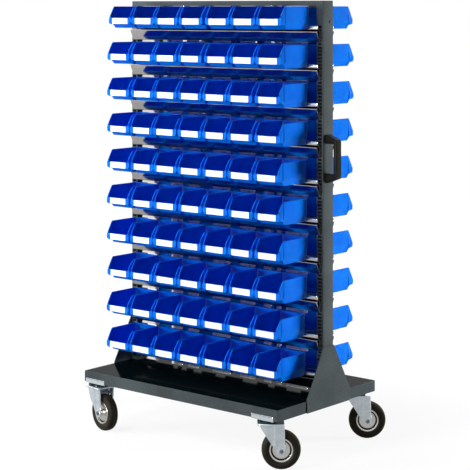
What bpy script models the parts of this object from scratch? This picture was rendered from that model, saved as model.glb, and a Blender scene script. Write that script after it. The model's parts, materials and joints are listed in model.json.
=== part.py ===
"""Two-sided mobile rack with tiers of open-fronted storage bins, on four swivel casters.

Lengths are in metres and +Z is up. The front faces -Y, and the end with the handle
faces +X. The pieces are made about the middle of the deck, and the whole is moved
at the end so that the origin lies on the floor below the middle of its outer size.
"""

import math

import bmesh
import bpy
from mathutils import Vector

# Fits shared by all pieces
touch_gap = 0.0003
cut_overrun = 0.004
join_lap = 0.0005

# Casters
wheel_radius = 0.0625
wheel_width = 0.034
tread_flat_width = 0.018
shoulder_drop = 0.006
rim_radius = 0.039
rim_lip_depth = 0.002
disc_radius = 0.030
disc_thickness = 0.010
hub_radius = 0.012
hub_clearance = 0.0015
wheel_sides = 32
axle_radius = 0.005
axle_running_gap = 0.0003
axle_head_radius = 0.0085
axle_head_height = 0.004
axle_sides = 12
trail = 0.040
fork_rise = 0.0875
fork_width = 0.056
fork_splay = 0.008
fork_sheet = 0.003
fork_boss_radius = 0.014
fork_boss_turn_share = 0.85
crown_lead = 0.036
crown_rear = 0.050
crown_width = 0.073
crown_thickness = 0.005
crown_corner_share = 0.08
leg_waist_drop = 0.016
leg_waist_lead = 0.024
leg_arc_steps = 5
race_radius = 0.026
race_height = 0.0222
race_sides = 20
plate_length = 0.089
plate_depth = 0.076
plate_sheet = 0.0035
plate_edge_height = 0.016
right_swivel_inset = 0.0625
left_swivel_inset = 0.0355
right_plate_inset = 0.0625
left_plate_inset = 0.050
front_swivel_inset = 0.033
rear_swivel_inset = 0.027
front_right_turn = 40.0
front_left_turn = -12.0
rear_right_turn = 40.0
rear_left_turn = 40.0

# Deck
deck_length = 0.855
deck_depth = 0.530
deck_sheet = 0.002
skirt_height = 0.037
notch_clearance = 0.001
channel_inset = 0.0555
channel_width = 0.104
channel_depth = 0.0217
channel_end_gap = 0.012

# Frame above the deck
upright_width = 0.027
upright_depth = 0.056
upright_wall = 0.002
beam_height = 0.0155
beam_clearance = 0.003
beam_strip_height = 0.008
gusset_sheet = 0.003
gusset_foot_width = 0.232
gusset_rise = 0.159
gusset_flare_rise = 0.004
gusset_foot_drop = 0.0385

# Handle
handle_centre_height = 0.968
handle_length = 0.161
handle_grip_length = 0.126
handle_opening_length = 0.099
handle_reach = 0.043
handle_grip_thickness = 0.012
handle_width = 0.030
handle_rounding = 0.004

# Tiers of bins
tier_count = 10
tier_pitch = 0.125
lowest_tier_clearance = 0.064
bins_per_tier = 7
bin_pitch = 0.1104
# How far the bins of each tier, from the top one down, sit from the middle of the rack.
front_tier_shifts = (0.005, 0.000, -0.002, -0.003, -0.005, -0.004, -0.004, -0.002, -0.008, -0.008)
rear_tier_shifts = (0.001, 0.005, 0.005, 0.003, 0.001, 0.001, 0.001, 0.003, 0.001, 0.001)

# Bin
bin_width = 0.106
bin_length = 0.146
bin_height = 0.075
rim_front_height = 0.072
bin_wall = 0.002
bin_base_length = 0.118
step_length = 0.009
step_height = 0.012
nose_height = 0.016
corner_height = 0.030
front_wall_height = 0.033
front_wall_inset = 0.011
low_cut_height = 0.047
low_cut_inset = 0.0045
high_cut_height = 0.062
high_cut_inset = 0.003
high_cut_setback = 0.008
rim_setback = 0.023
hook_sheet = 0.0025
hook_tip_height = 0.008
hook_inset = 0.006

# Rail
rail_sheet = 0.0015
rail_end_inset = 0.011
rail_reach = 0.0197
rail_lip_thickness = 0.0035
rail_lip_height = 0.014
rail_lip_setback = 0.0025
rail_nose_drop = 0.005
rail_face_drop = 0.043
rail_face_setback = 0.013
rail_web_drop = 0.0015
strip_length = 0.746
strip_height = 0.008
bin_stand_off = 0.001
hook_clearance = 0.0005

# Heights that follow from the stack of pieces
axle_height = wheel_radius
crown_top = axle_height + fork_rise
plate_underside = crown_top + touch_gap + race_height
plate_top = plate_underside + plate_sheet
channel_underside = plate_top + touch_gap
deck_underside = channel_underside + channel_depth
deck_top = deck_underside + deck_sheet
skirt_bottom = deck_top - skirt_height
plate_edge_bottom = plate_top - plate_edge_height
lowest_tier_height = deck_top + lowest_tier_clearance
top_tier_height = lowest_tier_height + (tier_count - 1) * tier_pitch
upright_foot = deck_top + touch_gap
beam_underside = top_tier_height + bin_height + beam_clearance
upright_top = beam_underside - touch_gap
beam_top = beam_underside + beam_height

# Places that follow from the sizes above
deck_end = deck_length / 2
deck_side = deck_depth / 2
swivel_x = {"left": left_swivel_inset - deck_end, "right": deck_end - right_swivel_inset}
plate_x = {"left": left_plate_inset - deck_end, "right": deck_end - right_plate_inset}
swivel_y = {"front": front_swivel_inset - deck_side, "rear": deck_side - rear_swivel_inset}
channel_x = deck_end - channel_inset
rail_back_y = upright_depth / 2 + touch_gap
rail_nose_y = rail_back_y + rail_reach
rail_lip_front_y = rail_nose_y - rail_lip_setback
rail_lip_back_y = rail_lip_front_y - rail_lip_thickness
bin_back_y = rail_nose_y + bin_stand_off


def remove_everything():
    for old in list(bpy.data.objects):
        bpy.data.objects.remove(old, do_unlink=True)


def make_material(name, colour, roughness, metallic):
    """A plain surface with the part's own colour."""
    material = bpy.data.materials.new(name)
    material.use_nodes = True
    shader = material.node_tree.nodes["Principled BSDF"]
    shader.inputs["Base Color"].default_value = (*colour, 1.0)
    shader.inputs["Roughness"].default_value = roughness
    shader.inputs["Metallic"].default_value = metallic
    return material


def mesh_of(name, points, faces):
    """A mesh whose faces all point outwards."""
    mesh = bpy.data.meshes.new(name)
    mesh.from_pydata(points, [], faces)
    work = bmesh.new()
    work.from_mesh(mesh)
    bmesh.ops.recalc_face_normals(work, faces=work.faces)
    work.to_mesh(mesh)
    work.free()
    return mesh


def block(low, high):
    """Points and faces of a box between two opposite corners."""
    widths, depths, heights = zip(low, high)
    corners = [(x, y, z) for z in heights for y in depths for x in widths]
    faces = [(0, 2, 3, 1), (4, 5, 7, 6), (0, 1, 5, 4), (2, 6, 7, 3), (0, 4, 6, 2), (1, 3, 7, 5)]
    return corners, faces


def prism(outline, start, end, axis):
    """Points and faces of an outline carried along an axis from start to end.

    The outline's two numbers are the other two coordinates, in X, Y, Z order.
    """
    points = []
    for along in (start, end):
        for first, second in outline:
            point = [first, second]
            point.insert("XYZ".index(axis), along)
            points.append(tuple(point))
    count = len(outline)
    sides = [(i, (i + 1) % count, count + (i + 1) % count, count + i) for i in range(count)]
    return points, [tuple(range(count)), tuple(range(count, 2 * count)), *sides]


def circle(centre, radius, sides, first_turn=0.0):
    """Corners of a regular polygon whose flats touch the radius."""
    reach = radius / math.cos(math.pi / sides)
    turns = [first_turn + 2 * math.pi * (step + 0.5) / sides for step in range(sides)]
    across, up = centre
    return [(across + reach * math.cos(turn), up + reach * math.sin(turn)) for turn in turns]


def turned(profile, sides):
    """A closed profile of (radius, across) points turned about the Y axis, with a flat at the bottom."""
    rings = []
    for step in range(sides):
        turn = 2 * math.pi * (step + 0.5) / sides - math.pi / 2
        along_x = math.cos(turn) / math.cos(math.pi / sides)
        along_z = math.sin(turn) / math.cos(math.pi / sides)
        rings.append([(radius * along_x, across, radius * along_z) for radius, across in profile])
    points = [point for ring in rings for point in ring]
    count = len(profile)
    faces = []
    for step in range(sides):
        here, there = step * count, (step + 1) % sides * count
        for i in range(count):
            j = (i + 1) % count
            faces.append((here + i, here + j, there + j, there + i))
    return points, faces


def combined(name, base, others, operation):
    """The first shape joined with the others, or with the others cut out of it."""
    target = bpy.data.objects.new(name, mesh_of(name, *base))
    bpy.context.scene.collection.objects.link(target)
    helpers = []
    for shape in others:
        helper = bpy.data.objects.new(name + "_tool", mesh_of(name + "_tool", *shape))
        bpy.context.scene.collection.objects.link(helper)
        modifier = target.modifiers.new("shape", "BOOLEAN")
        modifier.operation = operation
        modifier.solver = "EXACT"
        modifier.object = helper
        helpers.append(helper)
    bpy.context.view_layer.update()
    evaluated = target.evaluated_get(bpy.context.evaluated_depsgraph_get())
    result = bpy.data.meshes.new_from_object(evaluated)
    for spent in [target, *helpers]:
        bpy.data.objects.remove(spent, do_unlink=True)
    points = [tuple(vertex.co) for vertex in result.vertices]
    faces = [tuple(polygon.vertices) for polygon in result.polygons]
    bpy.data.meshes.remove(result)
    return points, faces


def place(name, mesh, material, location=(0, 0, 0), turn=0.0, parent=None, smooth_angle=None):
    """A named piece made from a mesh."""
    piece = bpy.data.objects.new(name, mesh)
    bpy.context.scene.collection.objects.link(piece)
    if not mesh.materials:
        mesh.materials.append(material)
    piece.location = location
    piece.rotation_euler.z = turn
    piece.parent = parent
    if smooth_angle is not None:
        mesh.shade_smooth()
        mesh.set_sharp_from_angle(angle=smooth_angle)
    return piece


def axis_empty(name, location, turn=0.0, parent=None):
    """An empty on a joint's axis."""
    empty = bpy.data.objects.new(name, None)
    bpy.context.scene.collection.objects.link(empty)
    empty.location = location
    empty.rotation_euler.z = turn
    empty.parent = parent
    empty.empty_display_size = wheel_radius
    return empty


def deck_shape():
    """A folded tray, open below, with a notch over each caster plate and two cross channels inside."""
    tray = block((-deck_end, -deck_side, skirt_bottom), (deck_end, deck_side, deck_top))
    inner_end = deck_end - deck_sheet
    inner_side = deck_side - deck_sheet
    hollow = block(
        (-inner_end, -inner_side, skirt_bottom - cut_overrun),
        (inner_end, inner_side, deck_underside),
    )
    notch_half = plate_length / 2 + notch_clearance
    cuts = [hollow]
    for middle in plate_x.values():
        low = (middle - notch_half, -deck_side - cut_overrun, skirt_bottom - cut_overrun)
        high = (middle + notch_half, deck_side + cut_overrun, plate_top + notch_clearance)
        cuts.append(block(low, high))
    tray = combined("tray", tray, cuts, "DIFFERENCE")
    channel_half = channel_width / 2
    inner_half = channel_half - deck_sheet
    web_top = channel_underside + deck_sheet
    flange_top = deck_underside + join_lap
    channel_end = inner_side - channel_end_gap
    channels = []
    for middle in (-channel_x, channel_x):
        outline = [
            (middle - channel_half, channel_underside),
            (middle + channel_half, channel_underside),
            (middle + channel_half, flange_top),
            (middle + inner_half, flange_top),
            (middle + inner_half, web_top),
            (middle - inner_half, web_top),
            (middle - inner_half, flange_top),
            (middle - channel_half, flange_top),
        ]
        channels.append(prism(outline, -channel_end, channel_end, "Y"))
    return combined("deck", tray, channels, "UNION")


def upright_shape():
    """A rectangular tube, open at both ends, with its outer face in the plane X = 0."""
    side = upright_depth / 2
    inner_side = side - upright_wall
    outer = [(-upright_width, -side), (0, -side), (0, side), (-upright_width, side)]
    inner = [
        (-upright_width + upright_wall, -inner_side),
        (-upright_wall, -inner_side),
        (-upright_wall, inner_side),
        (-upright_width + upright_wall, inner_side),
    ]
    tube = prism(outer, upright_foot, upright_top, "Z")
    bore = prism(inner, upright_foot - cut_overrun, upright_top + cut_overrun, "Z")
    return combined("upright", tube, [bore], "DIFFERENCE")


def beam_shape():
    """A shallow lid over both uprights, with a hanging strip below each long side."""
    beam_side = upright_depth / 2
    inner_end = deck_end - upright_wall
    inner_side = beam_side - upright_wall
    lid = block((-deck_end, -beam_side, beam_underside), (deck_end, beam_side, beam_top))
    hollow = block(
        (-inner_end, -inner_side, beam_underside - cut_overrun),
        (inner_end, inner_side, beam_top - upright_wall),
    )
    lid = combined("lid", lid, [hollow], "DIFFERENCE")
    strips = []
    for side in (-1, 1):
        faces_y = sorted((side * beam_side, side * (beam_side - rail_sheet)))
        low = (-strip_length / 2, faces_y[0], beam_underside - beam_strip_height)
        high = (strip_length / 2, faces_y[1], beam_underside + join_lap)
        strips.append(block(low, high))
    return combined("beam", lid, strips, "UNION")


def gusset_shape(outward):
    """A flared foot plate that lies on the upright and on the deck's end."""
    top_half = upright_depth / 2
    foot_half = gusset_foot_width / 2
    top = deck_top + gusset_rise
    flare = deck_top + gusset_flare_rise
    foot = deck_top - gusset_foot_drop
    outline = [
        (-foot_half, foot),
        (foot_half, foot),
        (foot_half, flare),
        (top_half, top),
        (-top_half, top),
        (-foot_half, flare),
    ]
    near = outward * (deck_end + touch_gap)
    far = outward * (deck_end + touch_gap + gusset_sheet)
    return prism(outline, min(near, far), max(near, far), "X")


def handle_shape():
    """A bow with slanted ends, seen from the side, on the upright's end face."""
    near = touch_gap
    far = handle_reach
    inside = handle_reach - handle_grip_thickness
    half = handle_length / 2
    grip_half = handle_grip_length / 2
    opening_half = handle_opening_length / 2
    outline = [
        (near, -half),
        (far, -grip_half),
        (far, grip_half),
        (near, half),
        (near, opening_half),
        (inside, opening_half),
        (inside, -opening_half),
        (near, -opening_half),
    ]
    return prism(outline, -handle_width / 2, handle_width / 2, "Y")


def rail_shape():
    """A folded hanging rail: web, upstanding lip, sloping face, bottom flange and hanging strip.

    The outline is seen from the end, outwards from the middle of the rack and
    up from the underside of the bins that hang on the rail.
    """
    face_foot_y = rail_nose_y - rail_face_setback
    outline = [
        (rail_back_y, -rail_web_drop),
        (rail_lip_back_y, -rail_web_drop),
        (rail_lip_back_y, rail_lip_height),
        (rail_lip_front_y, rail_lip_height),
        (rail_lip_front_y, -rail_web_drop - rail_sheet / 2),
        (rail_nose_y, -rail_nose_drop),
        (face_foot_y, -rail_face_drop),
        (rail_back_y, -rail_face_drop),
        (rail_back_y, -rail_face_drop + rail_sheet),
        (face_foot_y - rail_sheet / 2, -rail_face_drop + rail_sheet),
        (rail_nose_y - 2 * rail_sheet, -rail_nose_drop),
        (rail_lip_front_y - rail_sheet, -rail_web_drop - rail_sheet),
        (rail_back_y, -rail_web_drop - rail_sheet),
    ]
    rail_half = deck_end - rail_end_inset
    folded = prism(outline, -rail_half, rail_half, "X")
    strip = block(
        (-strip_length / 2, rail_back_y, -rail_face_drop - strip_height),
        (strip_length / 2, rail_back_y + rail_sheet, -rail_face_drop + rail_sheet / 2),
    )
    return combined("rail", folded, [strip], "UNION")


def bin_shape(centre):
    """One open-fronted bin as a closed shell, its back at Y = 0 and its base at Z = 0.

    The outer skin and the inner skin have the same ten corners on each side:
    back foot, back rim, front rim, high and low points of the curved front cut,
    front wall top, corner top, nose, step top and base front.
    """
    half = bin_width / 2
    step_y = bin_base_length + step_length
    outer = [
        (half, 0, 0),
        (half, 0, bin_height),
        (half, bin_length - rim_setback, rim_front_height),
        (half - high_cut_inset, bin_length - high_cut_setback, high_cut_height),
        (half - low_cut_inset, bin_length, low_cut_height),
        (half - front_wall_inset, bin_length, front_wall_height),
        (half, bin_length, corner_height),
        (half, bin_length, nose_height),
        (half, step_y, step_height),
        (half, bin_base_length, 0),
    ]
    thin = bin_wall
    inner = [
        (half - thin, thin, thin),
        (half - thin, thin, bin_height),
        (half - thin, bin_length - rim_setback, rim_front_height),
        (half - high_cut_inset - thin, bin_length - high_cut_setback - thin / 2, high_cut_height),
        (half - low_cut_inset - thin, bin_length - thin, low_cut_height),
        (half - front_wall_inset - thin / 2, bin_length - thin, front_wall_height),
        (half - thin, bin_length - thin, corner_height),
        (half - thin, bin_length - thin, nose_height + thin),
        (half - thin, step_y - thin / 2, step_height + thin),
        (half - thin, bin_base_length - thin, thin),
    ]
    count = len(outer)
    points = [(centre + x, y, z) for x, y, z in outer]
    points += [(centre - x, y, z) for x, y, z in outer]
    points += [(centre + x, y, z) for x, y, z in inner]
    points += [(centre - x, y, z) for x, y, z in inner]
    right, left, inner_right, inner_left = 0, count, 2 * count, 3 * count
    foot, rim_back, rim_front, cut_high, cut_low, wall_top, corner, nose, step, base = range(count)
    faces = []
    for near, far in ((right, left), (inner_right, inner_left)):
        for side in (near, far):
            faces.append(tuple(side + i for i in (foot, base, step, nose, corner, rim_front, rim_back)))
            faces.append(tuple(side + i for i in (corner, cut_high, rim_front)))
            faces.append(tuple(side + i for i in (corner, cut_low, cut_high)))
        for a, b in ((rim_back, foot), (foot, base), (base, step), (step, nose)):
            faces.append((near + a, near + b, far + b, far + a))
        front = (nose, corner, cut_low, wall_top)
        faces.append(tuple(near + i for i in front) + tuple(far + i for i in reversed(front)))
    rim = [rim_back, rim_front, cut_high, cut_low, wall_top]
    for outer_side, inner_side in ((right, inner_right), (left, inner_left)):
        for a, b in zip(rim, rim[1:]):
            faces.append((outer_side + a, outer_side + b, inner_side + b, inner_side + a))
    for a in (rim_back, wall_top):
        faces.append((right + a, left + a, inner_left + a, inner_right + a))
    return points, faces


def merged(shapes):
    """Several shapes as one list of points and faces."""
    points, faces = [], []
    for shape_points, shape_faces in shapes:
        start = len(points)
        points += shape_points
        faces += [tuple(start + i for i in face) for face in shape_faces]
    return points, faces


def hook_shape(first_centre, last_centre):
    """The hook moulded on the bins' backs, which drops over the rail's lip."""
    lip_top = rail_lip_height + touch_gap
    wall_y = bin_wall - join_lap
    lip_back = rail_lip_back_y - hook_clearance - bin_back_y
    tip_back = lip_back - bin_wall
    outline = [
        (wall_y, lip_top),
        (wall_y, lip_top + hook_sheet),
        (tip_back, lip_top + hook_sheet),
        (tip_back, hook_tip_height),
        (lip_back, hook_tip_height),
        (lip_back, lip_top),
    ]
    start = first_centre - bin_width / 2 + hook_inset
    end = last_centre + bin_width / 2 - hook_inset
    return prism(outline, start, end, "X")


def bins_shape(centres):
    """Neighbouring bins joined along their hooks."""
    bodies = merged([bin_shape(centre) for centre in centres])
    return combined("bins", bodies, [hook_shape(min(centres), max(centres))], "UNION")


def caster_plate_shape(offset, inset):
    """Mounting plate with its turned edge towards -Y and the swivel race below.

    The swivel's axis is at the origin, the plate's middle lies at the offset along X,
    and the turned edge lies at the inset from the axis.
    """
    left, right = offset - plate_length / 2, offset + plate_length / 2
    edge_y = -inset
    lap_top = plate_underside + join_lap
    plate = block((left, edge_y, plate_underside), (right, edge_y + plate_depth, plate_top))
    edge = block((left, edge_y, plate_edge_bottom), (right, edge_y + plate_sheet, lap_top))
    race = prism(circle((0, 0), race_radius, race_sides), crown_top + touch_gap, lap_top, "Z")
    return combined("plate", plate, [edge, race], "UNION")


def splayed(shape, side):
    """The shape with its upper part moved outwards, in step with its height over the axle."""
    points, faces = shape
    moved = []
    for x, y, z in points:
        share = max(0.0, z - axle_height) / fork_rise
        moved.append((x, y + side * fork_splay * share, z))
    return moved, faces


def fork_shape():
    """Crown, two legs and the axle, with the swivel's axis at the origin and the trail towards +X."""
    crown_underside = crown_top - crown_thickness
    corner = crown_width * crown_corner_share
    crown_outline = [
        (-crown_lead, -crown_width / 2 + corner),
        (-crown_lead + corner, -crown_width / 2),
        (crown_rear, -crown_width / 2),
        (crown_rear, crown_width / 2),
        (-crown_lead + corner, crown_width / 2),
        (-crown_lead, crown_width / 2 - corner),
    ]
    crown = prism(crown_outline, crown_underside, crown_top, "Z")
    boss = []
    for step in range(leg_arc_steps + 1):
        turn = -math.pi * fork_boss_turn_share * (1 - step / leg_arc_steps)
        across = trail + fork_boss_radius * math.cos(turn)
        up = axle_height + fork_boss_radius * math.sin(turn)
        boss.append((across, up))
    leg_outline = [
        (-leg_waist_lead, crown_top - leg_waist_drop),
        *boss,
        (crown_rear - join_lap, crown_top - join_lap),
        (corner - crown_lead, crown_top - join_lap),
    ]
    legs = []
    for side in (-1, 1):
        faces_y = sorted((side * fork_width / 2, side * (fork_width / 2 - fork_sheet)))
        legs.append(splayed(prism(leg_outline, faces_y[0], faces_y[1], "Y"), side))
    head_end = fork_width / 2 + axle_head_height
    axle_end = fork_width / 2 + join_lap
    axle_centre = (trail, axle_height)
    axle = prism(circle(axle_centre, axle_radius, axle_sides), -axle_end, axle_end, "Y")
    heads = []
    for side in (-1, 1):
        ends = sorted((side * (fork_width / 2 - join_lap), side * head_end))
        heads.append(prism(circle(axle_centre, axle_head_radius, axle_sides), *ends, "Y"))
    return combined("fork", crown, [*legs, axle, *heads], "UNION")


def wheel_shape():
    """Tyre, rim and hub turned as one ring about the axle, which lies along Y through the origin."""
    half = wheel_width / 2
    hub_half = fork_width / 2 - fork_sheet - hub_clearance
    bore = axle_radius / math.cos(math.pi / axle_sides) + axle_running_gap
    one_side = [
        (bore, hub_half),
        (hub_radius, hub_half),
        (hub_radius, disc_thickness / 2),
        (disc_radius, disc_thickness / 2),
        (rim_radius, half - rim_lip_depth),
        (wheel_radius - shoulder_drop, half),
        (wheel_radius, tread_flat_width / 2),
    ]
    other_side = [(radius, -across) for radius, across in reversed(one_side)]
    return turned(one_side + other_side, wheel_sides)


def centre_on_origin():
    """Moves the rack so that the origin lies on the floor below the middle of its outer size."""
    bpy.context.view_layer.update()
    pieces = [piece for piece in bpy.data.objects if piece.type == "MESH"]
    corners = [piece.matrix_world @ vertex.co for piece in pieces for vertex in piece.data.vertices]
    low_x, high_x = min(corner.x for corner in corners), max(corner.x for corner in corners)
    low_y, high_y = min(corner.y for corner in corners), max(corner.y for corner in corners)
    middle = Vector(((low_x + high_x) / 2, (low_y + high_y) / 2, 0))
    for piece in bpy.data.objects:
        if piece.parent is None:
            piece.location -= middle


def build():
    remove_everything()
    anthracite = make_material("anthracite_powder_coat", (0.068, 0.082, 0.085), 0.45, 0.0)
    zinc = make_material("zinc_plated_steel", (0.62, 0.66, 0.70), 0.32, 1.0)
    blue = make_material("blue_polypropylene", (0.008, 0.18, 0.82), 0.38, 0.0)
    black = make_material("black_plastic", (0.012, 0.012, 0.010), 0.45, 0.0)
    rubber = make_material("black_rubber", (0.022, 0.019, 0.014), 0.65, 0.0)

    place("base_deck", mesh_of("base_deck", *deck_shape()), anthracite)
    upright = mesh_of("upright", *upright_shape())
    place("right_upright", upright, anthracite, (deck_end, 0, 0))
    place("left_upright", upright, anthracite, (-deck_end, 0, 0), math.pi)
    place("top_beam", mesh_of("top_beam", *beam_shape()), anthracite)
    for side, outward in (("right", 1), ("left", -1)):
        place(side + "_gusset", mesh_of(side + "_gusset", *gusset_shape(outward)), anthracite)

    handle = mesh_of("bow_handle", *handle_shape())
    grip = place("bow_handle", handle, black, (deck_end, 0, handle_centre_height))
    rounding = grip.modifiers.new("rounding", "BEVEL")
    rounding.width = handle_rounding
    rounding.segments = 2
    rounding.limit_method = "ANGLE"

    rail = mesh_of("rail", *rail_shape())
    middle_bin = (bins_per_tier - 1) / 2
    centres = [(number - middle_bin) * bin_pitch for number in range(bins_per_tier)]
    full_tier = mesh_of("bins", *bins_shape(centres))
    # Seen from the front the last bin is at +X, which is -X before the tier is turned to the front.
    short_tier = mesh_of("bins_less_one", *bins_shape(centres[1:]))
    single_bin = mesh_of("bin", *bins_shape(centres[:1]))
    for tier in range(1, tier_count + 1):
        height = lowest_tier_height + (tier_count - tier) * tier_pitch
        for side, turn, shifts in (("front", math.pi, front_tier_shifts), ("rear", 0.0, rear_tier_shifts)):
            outward = -1 if side == "front" else 1
            place(f"{side}_rail_{tier}", rail, zinc, (0, 0, height), turn)
            hung = (shifts[tier - 1], outward * bin_back_y, height)
            lifts_off = side == "front" and tier == tier_count
            place(f"{side}_bins_{tier}", short_tier if lifts_off else full_tier, blue, hung, turn)
            if lifts_off:
                place("lift_off_bin", single_bin, blue, hung, turn)

    fork = mesh_of("caster_fork", *fork_shape())
    wheel = mesh_of("caster_wheel", *wheel_shape())
    corners = (
        ("front", "right", front_right_turn, 0.0, front_swivel_inset),
        ("front", "left", front_left_turn, 0.0, front_swivel_inset),
        ("rear", "right", rear_right_turn, math.pi, rear_swivel_inset),
        ("rear", "left", rear_left_turn, math.pi, rear_swivel_inset),
    )
    for side, end, turn, plate_turn, inset in corners:
        corner = side + "_" + end
        foot = (swivel_x[end], swivel_y[side], 0)
        offset = (plate_x[end] - swivel_x[end]) * math.cos(plate_turn)
        plate = mesh_of(corner + "_caster_plate", *caster_plate_shape(offset, inset))
        place(corner + "_caster_plate", plate, zinc, foot, plate_turn)
        swivel = axis_empty(corner + "_swivel_axis", foot, math.radians(turn))
        place(corner + "_fork", fork, zinc, parent=swivel)
        axle = axis_empty(corner + "_wheel_axis", (trail, 0, axle_height), parent=swivel)
        place(corner + "_wheel", wheel, rubber, parent=axle, smooth_angle=math.radians(30))
    centre_on_origin()


build()
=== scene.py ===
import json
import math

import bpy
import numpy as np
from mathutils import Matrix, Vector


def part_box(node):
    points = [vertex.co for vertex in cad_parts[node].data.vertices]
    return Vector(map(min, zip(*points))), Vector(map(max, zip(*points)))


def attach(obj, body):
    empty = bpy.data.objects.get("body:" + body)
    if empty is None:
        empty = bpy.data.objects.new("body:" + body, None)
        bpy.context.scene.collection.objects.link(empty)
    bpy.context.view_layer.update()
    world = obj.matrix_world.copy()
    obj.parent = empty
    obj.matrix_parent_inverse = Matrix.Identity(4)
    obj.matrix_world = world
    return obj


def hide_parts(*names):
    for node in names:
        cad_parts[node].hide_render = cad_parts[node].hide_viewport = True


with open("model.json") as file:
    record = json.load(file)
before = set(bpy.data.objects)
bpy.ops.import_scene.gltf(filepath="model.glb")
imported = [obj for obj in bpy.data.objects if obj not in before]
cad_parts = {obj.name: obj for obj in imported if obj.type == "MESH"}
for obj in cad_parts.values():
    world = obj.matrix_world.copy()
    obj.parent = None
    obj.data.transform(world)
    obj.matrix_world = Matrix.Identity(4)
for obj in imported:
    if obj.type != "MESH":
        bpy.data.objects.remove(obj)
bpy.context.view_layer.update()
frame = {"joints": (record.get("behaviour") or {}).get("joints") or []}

# %% [markdown]
# # A mobile rack of small storage bins
#
# The object is a steel rack on four swivel castors. Two perforated posts stand in the
# middle of a folded deck and carry ten hanging rails on each side, and every rail holds
# a row of seven open-fronted bins. The CAD model gives the places and the outer sizes.
# This file dresses it: each new piece is a surface worked out with numpy from a few
# real measurements, and each finish is a small node graph.
#
# All shapes below are in millimetres about the middle of the deck, because a maker
# would measure the rack that way. One function turns them to metres in the model's frame.

MM = 0.001
deck_low, deck_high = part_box("base_deck")
rack_middle = np.array([(deck_low.x + deck_high.x) / 2, (deck_low.y + deck_high.y) / 2, 0.0])
print("middle of the rack, metres:", rack_middle.round(4).tolist())


def in_rack(node):
    """Lowest and highest corner of a CAD node, in millimetres about the middle of the rack."""
    return [(np.array(corner) - rack_middle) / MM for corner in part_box(node)]


# %% [markdown]
# ## Skins, plates and turned pieces
#
# Almost everything on the rack is folded sheet, a turned part or a moulding. All three can
# be described as a stack of closed rings with a skin over them. A sheet is its outline
# carried along its thickness, with rings that draw in near the ends so that the edges are
# round. A wheel is one circle for every point of its profile. A bin is one loop for every
# level of its wall. Modelling with rings keeps each formula short, and no modifier is needed.

# %% Rings and the skin over them
def grid_faces(rows, columns):
    """Quads between neighbouring points of a grid, where every row closes on itself."""
    row = np.arange(rows - 1)[:, None] * columns
    here = np.arange(columns)[None, :]
    there = (here + 1) % columns
    quads = np.stack([row + here, row + there, row + columns + there, row + columns + here], axis=-1)
    return quads.reshape(-1, 4).tolist()


def volume_under(points, faces):
    """The sum over all triangles of a . (b x c) / 6, which is negative when faces look inwards."""
    fans = [np.stack([np.full(len(f) - 2, f[0]), f[1:-1], f[2:]], axis=1) for f in map(np.array, faces)]
    a, b, c = points[np.concatenate(fans)].transpose(1, 0, 2)
    return np.einsum("ij,ij->i", a, np.cross(b, c)).sum() / 6


def outward(points, faces):
    """The same closed shape with its faces looking outwards."""
    if volume_under(points, faces) < 0:
        faces = [face[::-1] for face in faces]
    return points, faces


def lofted(rings, ring_shaped=False):
    """Skin over a stack of closed rings: flat caps at both ends, or the last ring joined to the first."""
    rings = np.asarray(rings, float)
    if ring_shaped:
        rings = np.concatenate([rings, rings[:1]])
    rows, columns = rings.shape[:2]
    faces = grid_faces(rows, columns)
    points = rings.reshape(-1, 3)
    if ring_shaped:
        points = points[: (rows - 1) * columns]
        faces = [[corner % len(points) for corner in face] for face in faces]
    else:
        faces += [list(range(columns)), list(range(rows * columns - 1, (rows - 1) * columns - 1, -1))]
    return outward(points, faces)


def joined(shapes):
    """Several shapes as one list of points and one of faces."""
    points, faces, start = [], [], 0
    for shape_points, shape_faces in shapes:
        points.append(shape_points)
        faces += [[start + corner for corner in face] for face in shape_faces]
        start += len(shape_points)
    return np.concatenate(points), faces


def moved(shape, offset=(0, 0, 0), turn=0.0):
    """A shape turned about the Z axis by an angle in radians, then shifted."""
    points, faces = shape
    cos, sin = math.cos(turn), math.sin(turn)
    spin = np.array([[cos, sin, 0], [-sin, cos, 0], [0, 0, 1]])
    return points @ spin + np.asarray(offset, float), faces


print("a skin over 3 rings of 4 points has", len(grid_faces(3, 4)), "faces")


# %% Outlines, plates and turned pieces
def rectangle(left, low, right, high):
    """Its four corners, round from the lower left one."""
    return np.array([(left, low), (right, low), (right, high), (left, high)], float)


def rounded(corners, radius, steps=4):
    """Each corner becomes a curve from a point before it to one after it, pulled towards the corner."""
    corners = np.asarray(corners, float)
    before = np.roll(corners, 1, axis=0) - corners
    after = np.roll(corners, -1, axis=0) - corners
    before_length = np.linalg.norm(before, axis=1, keepdims=True)
    after_length = np.linalg.norm(after, axis=1, keepdims=True)
    before, after = before / before_length, after / after_length
    half_turn = np.arccos(np.clip((before * after).sum(axis=1), -1, 1)) / 2
    reach = np.asarray(radius, float) / np.tan(half_turn)
    reach = np.minimum(reach, 0.48 * np.minimum(before_length, after_length)[:, 0])[:, None]
    start, end = corners + before * reach, corners + after * reach
    t = np.linspace(0, 1, steps + 1)[None, :, None]
    curve = (1 - t) ** 2 * start[:, None] + 2 * t * (1 - t) * corners[:, None] + t**2 * end[:, None]
    return curve.reshape(-1, 2)


def inset(outline, distance):
    """Every side moves inwards by the distance, and a corner lands where its two moved sides cross."""
    outline = np.asarray(outline, float)
    ahead = np.roll(outline, -1, axis=0) - outline
    area = (outline[:, 0] * ahead[:, 1] - outline[:, 1] * ahead[:, 0]).sum()
    ahead /= np.linalg.norm(ahead, axis=1, keepdims=True)
    normal = np.stack([-ahead[:, 1], ahead[:, 0]], axis=1)
    other = np.roll(normal, 1, axis=0)
    share = 1 + (normal * other).sum(axis=1, keepdims=True)
    return outline + math.copysign(distance, area) * (normal + other) / share


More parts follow.
